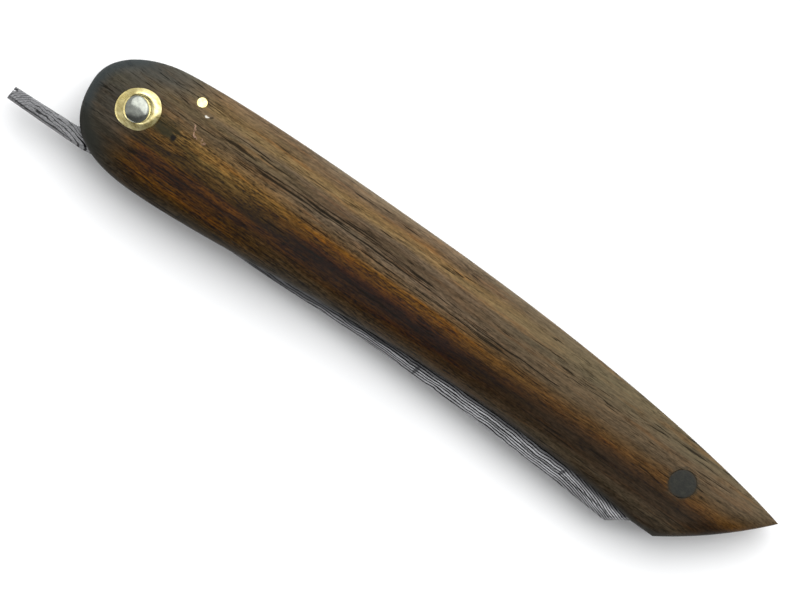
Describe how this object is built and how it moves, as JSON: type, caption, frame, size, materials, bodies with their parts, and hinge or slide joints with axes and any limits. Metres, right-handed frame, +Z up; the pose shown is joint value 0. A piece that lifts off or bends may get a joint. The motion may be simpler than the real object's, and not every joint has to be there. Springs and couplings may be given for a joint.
{
  "type": "straight razor",
  "caption": "Closed folding straight razor: crowned wooden handle, steel blade with a long flat tail, domed pivot rivet with dished collars, and a blade that swings open.",
  "frame": {"origin": "under the middle of the closed razor's outline, on the surface that it lies on", "axes": "+X along the handle to its pointed tip, +Y to the back edge of the handle, +Z up through the front scale"},
  "size_m": [0.1624, 0.0256, 0.0132],
  "materials": {
    "blade_steel": "etched pattern-welded steel, satin",
    "scale_wood": "dark brown streaked hardwood, oiled",
    "dowel_wood": "near-black wood, sanded flush",
    "brass": "polished",
    "bronze": "plain sheet",
    "pin_steel": "peened and polished steel"
  },
  "bodies": {
    "handle": {"front_scale": "scale_wood", "back_scale": "scale_wood", "tail_spacer": "scale_wood", "tail_dowel": "dowel_wood", "stop_pin": "brass", "pivot_pin": "pin_steel", "front_collar": "brass", "back_collar": "brass", "front_inner_washer": "bronze", "back_inner_washer": "bronze"},
    "blade": {"blade": "blade_steel"}
  },
  "joints": [
    {"name": "blade_pivot", "type": "hinge", "parent": "handle", "child": "blade", "pos_m": [-0.05985, 0.00028, 0.0066], "axis": [0, 0, -1], "range_deg": [0, 180]}
  ]
}
